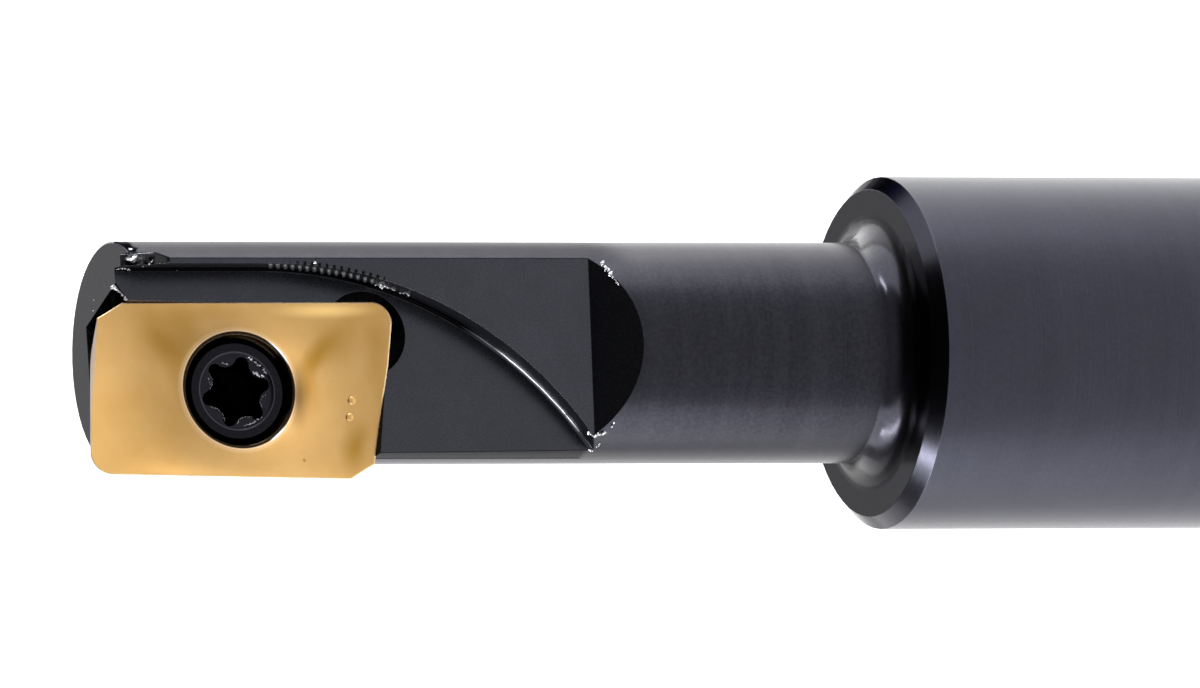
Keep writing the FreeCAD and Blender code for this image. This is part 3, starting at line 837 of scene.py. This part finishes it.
class ENDMILL_OT_burrs(bpy.types.Operator):
    """Scatters torn steel along the milled edges and the socket's rim"""

    bl_idname = "endmill.burrs"
    bl_label = "Add burrs"

    def execute(self, context):
        settings = context.scene.endmill_burrs
        values = {"Spacing": settings.spacing_mm, "Unevenness": settings.jitter, "Seed": settings.seed}
        tree = burr_tree(torn_steel())
        hand_over(bake_tree(tree, "edge_burrs", values, run_mesh(BURR_RUNS)))
        hand_over(bake_tree(tree, "socket_burrs", values, run_mesh(SOCKET_BURR_RUNS)))
        return {"FINISHED"}


def run_mesh(runs):
    """Edge chains with a thickness at each point, for the burr tree to follow."""
    points, edges, thickness = [], [], []
    for chain, size in runs:
        first = len(points)
        points.extend(chain)
        thickness.extend([size] * len(chain))
        edges.extend((i, i + 1) for i in range(first, len(points) - 1))
    mesh = bpy.data.meshes.new("burr_runs")
    mesh.from_pydata(points, edges, [])
    mesh.attributes.new("thickness", "FLOAT", "POINT").data.foreach_set("value", thickness)
    return mesh


# A lump is this wide, deep and long for its size, and turns all round but leans over only so far, in radians
LUMP_SHAPE = (1.0, 0.7, 1.25)
LUMP_TURNS = (6.283, 0.8, 6.283)


def burr_tree(material):
    """Small crumpled lumps, drawn out along each run and turned at random."""
    tree, given = new_tree(
        "torn_burrs_along_edges",
        [
            ("Geometry", "NodeSocketGeometry", None),
            ("Spacing", "NodeSocketFloat", 0.05),
            ("Unevenness", "NodeSocketFloat", 0.5),
            ("Seed", "NodeSocketInt", 1),
        ],
    )
    curves = add_node(tree, "GeometryNodeMeshToCurve", {"Mesh": given["Geometry"]})
    sockets = {"Curve": curves, "Length": given["Spacing"]}
    points = add_node(tree, "GeometryNodeCurveToPoints", sockets, mode="LENGTH")
    thickness = add_node(tree, "GeometryNodeInputNamedAttribute", {"Name": "thickness"}, data_type="FLOAT")
    low = add_node(tree, "ShaderNodeMath", (1.0, given["Unevenness"]), operation="SUBTRACT")
    high = add_node(tree, "ShaderNodeMath", (1.0, given["Unevenness"]), operation="ADD")
    sockets = {2: low, 3: high, "Seed": given["Seed"]}
    uneven = add_node(tree, "FunctionNodeRandomValue", sockets, output=1, data_type="FLOAT")
    size = overlap(tree, thickness, uneven)
    seed = given["Seed"]
    aside, turn = (
        add_node(tree, "FunctionNodeRandomValue", {0: least, 1: most, "Seed": seed}, data_type="FLOAT_VECTOR")
        for least, most in (((-0.5, -0.5, -0.5), (0.5, 0.5, 0.5)), ((0.0, 0.0, 0.0), LUMP_TURNS))
    )
    offset = add_node(tree, "ShaderNodeVectorMath", {0: aside, "Scale": size}, operation="SCALE")
    moved = add_node(tree, "GeometryNodeSetPosition", {"Geometry": points, "Offset": offset})
    # A ball whose skin noise pushes in and out stands for one torn lump
    ball = add_node(tree, "GeometryNodeMeshIcoSphere", {"Radius": 0.5, "Subdivisions": 3})
    place = add_node(tree, "GeometryNodeInputPosition")
    crumple = add_node(tree, "ShaderNodeTexNoise", {"Vector": place, "Scale": 3.2, "Detail": 2.0})
    sockets = {0: place, "Scale": shifted(tree, -1.3, (crumple, 2.6))}
    push = add_node(tree, "ShaderNodeVectorMath", sockets, operation="SCALE")
    lump = add_node(tree, "GeometryNodeSetPosition", {"Geometry": ball, "Offset": push})
    scale = add_node(tree, "ShaderNodeCombineXYZ", [overlap(tree, size, part) for part in LUMP_SHAPE])
    turned = add_node(tree, "FunctionNodeEulerToRotation", (turn,))
    sockets = {"Points": moved, "Instance": lump, "Rotation": turned, "Scale": scale}
    return end_tree(tree, add_node(tree, "GeometryNodeInstanceOnPoints", sockets), material)


# Middles of the two pips on the insert's rake face, and their radius and rise, in millimetres
PIP_PLACES = ((-1.798, -1.034, 72.375), (-2.388, -1.032, 72.474))
PIP_RADIUS = 0.16
PIP_RISE = 0.06


class ENDMILL_OT_insert_pips(bpy.types.Operator):
    """Raises the two moulded pips on the insert's end"""

    bl_idname = "endmill.insert_pips"
    bl_label = "Add insert pips"

    def execute(self, context):
        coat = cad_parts["cutting_insert"].material_slots[0].material
        seeds = bpy.data.meshes.new("pip_seeds")
        seeds.from_pydata(PIP_PLACES, [], [])
        values = {"Pip Radius": PIP_RADIUS, "Pip Rise": PIP_RISE}
        hand_over(bake_tree(pip_tree(coat), "insert_pips", values, seeds))
        return {"FINISHED"}


def pip_tree(material):
    """Low domes that stand on the rake face."""
    tree, given = new_tree(
        "moulded_pips_on_the_rake_face",
        [
            ("Geometry", "NodeSocketGeometry", None),
            ("Pip Radius", "NodeSocketFloat", PIP_RADIUS),
            ("Pip Rise", "NodeSocketFloat", PIP_RISE),
        ],
    )
    dome = add_node(tree, "GeometryNodeMeshUVSphere", {"Segments": 32, "Rings": 20, "Radius": 1.0})
    stand = add_node(tree, "FunctionNodeAlignRotationToVector", {"Vector": seat_normal()}, axis="Z")
    radius = given["Pip Radius"]
    scale = add_node(tree, "ShaderNodeCombineXYZ", (radius, radius, given["Pip Rise"]))
    sockets = {"Points": given["Geometry"], "Instance": dome, "Rotation": stand, "Scale": scale}
    return end_tree(tree, add_node(tree, "GeometryNodeInstanceOnPoints", sockets), material)


class ENDMILL_OT_hole_thread(bpy.types.Operator):
    """Cuts the look of a thread into the tapped hole behind the screw"""

    bl_idname = "endmill.hole_thread"
    bl_label = "Add hole thread"

    def execute(self, context):
        settings = context.scene.endmill_thread
        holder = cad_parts["holder_body"].material_slots[0].material
        values = {
            "Pitch": settings.pitch_mm,
            "Depth": settings.depth_mm,
            "Hole Radius": settings.radius_mm,
        }
        hand_over(bake_tree(thread_tree(holder), "hole_thread", values))
        return {"FINISHED"}


# The thread starts behind the pocket's floor and has more turns than the wall is thick; what would stand out
# of the neck's surface is cut off
THREAD_START = -SEAT_TO_AXIS_POINT - 0.62
THREAD_TURNS = 4
STEPS_PER_TURN = 64
THREAD_REACH = NECK_RADIUS - 0.1


def thread_tree(material):
    """One helical ridge on the hole's wall, stopped where the neck's own surface cuts the hole."""
    tree, given = new_tree(
        "helical_ridge_in_the_tapped_hole",
        [
            ("Pitch", "NodeSocketFloat", 0.45),
            ("Depth", "NodeSocketFloat", 0.17),
            ("Hole Radius", "NodeSocketFloat", 1.25),
        ],
    )
    line = add_node(tree, "GeometryNodeMeshLine", {"Count": STEPS_PER_TURN * THREAD_TURNS})
    index = add_node(tree, "GeometryNodeInputIndex")
    angle = overlap(tree, index, 2 * math.pi / STEPS_PER_TURN)
    turns = add_node(tree, "ShaderNodeMath", (index, STEPS_PER_TURN), operation="DIVIDE")
    drop = overlap(tree, turns, given["Pitch"])
    across, aside = (
        overlap(tree, add_node(tree, "ShaderNodeMath", (angle,), operation=side), given["Hole Radius"])
        for side in ("COSINE", "SINE")
    )
    height = add_node(tree, "ShaderNodeMath", (THREAD_START, drop), operation="SUBTRACT")
    helix = add_node(tree, "ShaderNodeCombineXYZ", (across, aside, height))
    wound = add_node(tree, "GeometryNodeSetPosition", {"Geometry": line, "Position": helix})
    stand = screw_frame()
    sockets = {"Geometry": wound, "Translation": stand.to_translation(), "Rotation": stand.to_euler()}
    placed = add_node(tree, "GeometryNodeTransform", sockets)
    place = add_node(tree, "GeometryNodeInputPosition")
    x, y, _ = add_node(tree, "ShaderNodeSeparateXYZ", (place,), None).outputs
    outside = overlap(tree, (length_of(tree, x, y), "GREATER_THAN", THREAD_REACH))
    kept = add_node(tree, "GeometryNodeDeleteGeometry", {"Geometry": placed, "Selection": outside})
    path = add_node(tree, "GeometryNodeMeshToCurve", {"Mesh": kept})
    section = add_node(tree, "GeometryNodeCurvePrimitiveCircle", {"Resolution": 4, "Radius": given["Depth"]})
    sockets = {"Curve": path, "Profile Curve": section, "Fill Caps": True}
    return end_tree(tree, add_node(tree, "GeometryNodeCurveToMesh", sockets), material)


# Stage

FLOOR_REACH = 3.0
# Upright panels, low beside the tool, that shade its turned sides from dark to light: place in metres, width
# and glow, which is the brightness that the steel mirrors
BOX_Z = 0.107
BOX_HEIGHT = 0.20
SIDE_BOXES = {
    "softbox_plus_x": (0.13, 0.015, 0.14, 4.9),
    "softbox_minus_x": (-0.13, -0.01, 0.12, 5.8),
    "rear_card_plus_x": (0.13, 0.20, 0.20, 2.1),
    "rear_card_minus_x": (-0.13, 0.22, 0.20, 1.0),
}
# Narrow bright strips for the long glints in the shoulder's fillet: their two ends in metres, width and glow
STRIP_LAMPS = {
    "strip_lamp_minus_x": ((-0.120, -0.002, 0.062), (-0.105, 0.014, 0.185), 0.018, 30.0),
    "strip_lamp_plus_x": ((0.114, -0.034, 0.048), (0.102, -0.056, 0.072), 0.010, 45.0),
}
# The world is bright to one height and dark overhead from the next, as in a shaded studio
WORLD_LEVELS = (0.30, 0.85, 0.9, 0.04)


class ENDMILL_OT_stage(bpy.types.Operator):
    """Sets the floor, the lamps, the world and the camera"""

    bl_idname = "endmill.stage"
    bl_label = "Set the stage"

    def execute(self, context):
        set_floor()
        for name, (x, y, width, glow) in SIDE_BOXES.items():
            facing = Matrix.Rotation(math.copysign(math.pi / 2, x), 4, "Y")
            area_lamp(name, BOX_HEIGHT, width, glow, Matrix.Translation((x, y, BOX_Z)) @ facing)
        for name, (low, high, width, glow) in STRIP_LAMPS.items():
            strip_lamp(name, Vector(low), Vector(high), width, glow)
        set_world(context.scene)
        set_camera(context.scene)
        context.scene.view_settings.view_transform = "Standard"
        return {"FINISHED"}


def set_floor():
    """A wide flat card under the tool."""
    mesh = bpy.data.meshes.new("studio_floor")
    corners = [(x * FLOOR_REACH, y * FLOOR_REACH, 0) for x, y in ((-1, -1), (1, -1), (1, 1), (-1, 1))]
    mesh.from_pydata(corners, [], [(0, 1, 2, 3)])
    mesh.materials.append(studio_floor())
    link(bpy.data.objects.new("studio_floor", mesh))


def area_lamp(name, width, length, glow, place):
    """A glowing panel that the lens doesn't see."""
    light = bpy.data.lights.new(name, "AREA")
    light.shape = "RECTANGLE"
    light.size = width
    light.size_y = length
    light.energy = glow * math.pi * width * length
    lamp = link(bpy.data.objects.new(name, light))
    lamp.matrix_world = place
    lamp.visible_camera = False


def strip_lamp(name, low, high, width, glow):
    """A strip from one point to another that faces the middle of the shoulder."""
    middle = (low + high) / 2
    along = (high - low).normalized()
    back = (middle - Vector((0.0, 0.0, SHOULDER_Z * MM))).normalized()
    back = (back - along * back.dot(along)).normalized()
    turn = Matrix((along.cross(back), along, back)).transposed()
    area_lamp(name, width, (high - low).length, glow, Matrix.Translation(middle) @ turn.to_4x4())


def set_world(scene):
    """White at the horizon, dark overhead; the lens sees plain white."""
    world = bpy.data.worlds.new("shaded_studio")
    scene.world = world
    world.use_nodes = True
    tree = world.node_tree
    tree.nodes.clear()
    ray = add_node(tree, "ShaderNodeTexCoord", output="Generated")
    height = add_node(tree, "ShaderNodeSeparateXYZ", (ray,), "Z")
    level = add_node(tree, "ShaderNodeMapRange", (height, *WORLD_LEVELS), interpolation_type="SMOOTHSTEP")
    shade = add_node(tree, "ShaderNodeBackground", {"Color": "#ffffff", "Strength": level})
    white = add_node(tree, "ShaderNodeBackground", {"Color": "#ffffff", "Strength": 1.0})
    seen = add_node(tree, "ShaderNodeLightPath", output="Is Camera Ray")
    both = add_node(tree, "ShaderNodeMixShader", (seen, shade, white))
    add_node(tree, "ShaderNodeOutputWorld", {"Surface": both}, output=None)


def set_camera(scene):
    """The photograph's view, with the tool's axis level in the picture and its tip to the left."""
    across = Vector((math.cos(VIEW_AZIMUTH), math.sin(VIEW_AZIMUTH), 0.0))
    towards = Vector((math.sin(VIEW_AZIMUTH), -math.cos(VIEW_AZIMUTH), 0.0))
    down = Vector((0.0, 0.0, -1.0))
    right = down * math.cos(VIEW_ELEVATION) + towards * math.sin(VIEW_ELEVATION)
    ahead = down * math.sin(VIEW_ELEVATION) - towards * math.cos(VIEW_ELEVATION)
    target = across * VIEW_TARGET_ACROSS + Vector((0.0, 0.0, VIEW_TARGET_HEIGHT))
    camera = bpy.data.cameras.new("photo_view")
    camera.lens = LENS_MM
    camera.sensor_width = 36.0
    camera.clip_start = 0.05
    camera.clip_end = 20.0
    item = link(bpy.data.objects.new("photo_view", camera))
    turn = Matrix((right, across, -ahead)).transposed()
    item.matrix_world = Matrix.Translation(target - ahead * VIEW_DISTANCE) @ turn.to_4x4()
    scene.camera = item


# Add-on


class ENDMILL_PT_panel(bpy.types.Panel):
    """Lists the steps that dress the end mill"""

    bl_label = "End Mill"
    bl_idname = "ENDMILL_PT_panel"
    bl_space_type = "VIEW_3D"
    bl_region_type = "UI"
    bl_category = "End Mill"

    def draw(self, context):
        for name in SETTINGS:
            group = getattr(context.scene, name)
            box = self.layout.box()
            for key in group.__annotations__:
                box.prop(group, key)
        for step in STEPS:
            self.layout.operator(step.bl_idname)


SETTINGS = {
    "endmill_finish": ENDMILL_PG_finish,
    "endmill_chatter": ENDMILL_PG_chatter,
    "endmill_burrs": ENDMILL_PG_burrs,
    "endmill_thread": ENDMILL_PG_thread,
}
STEPS = (
    ENDMILL_OT_finish_solids,
    ENDMILL_OT_chatter_ribs,
    ENDMILL_OT_burrs,
    ENDMILL_OT_insert_pips,
    ENDMILL_OT_hole_thread,
    ENDMILL_OT_stage,
)


def register():
    """Registers the classes and hangs the settings on the scene."""
    for item in (*SETTINGS.values(), *STEPS, ENDMILL_PT_panel):
        bpy.utils.register_class(item)
    for name, group in SETTINGS.items():
        setattr(bpy.types.Scene, name, bpy.props.PointerProperty(type=group))


def unregister():
    """Takes the settings and the classes away again."""
    for name in SETTINGS:
        delattr(bpy.types.Scene, name)
    for item in reversed((*SETTINGS.values(), *STEPS, ENDMILL_PT_panel)):
        bpy.utils.unregister_class(item)


def main():
    """Runs every step."""
    register()
    for step in STEPS:
        group, name = step.bl_idname.split(".")
        getattr(getattr(bpy.ops, group), name)()


if __name__ == "__main__":
    main()
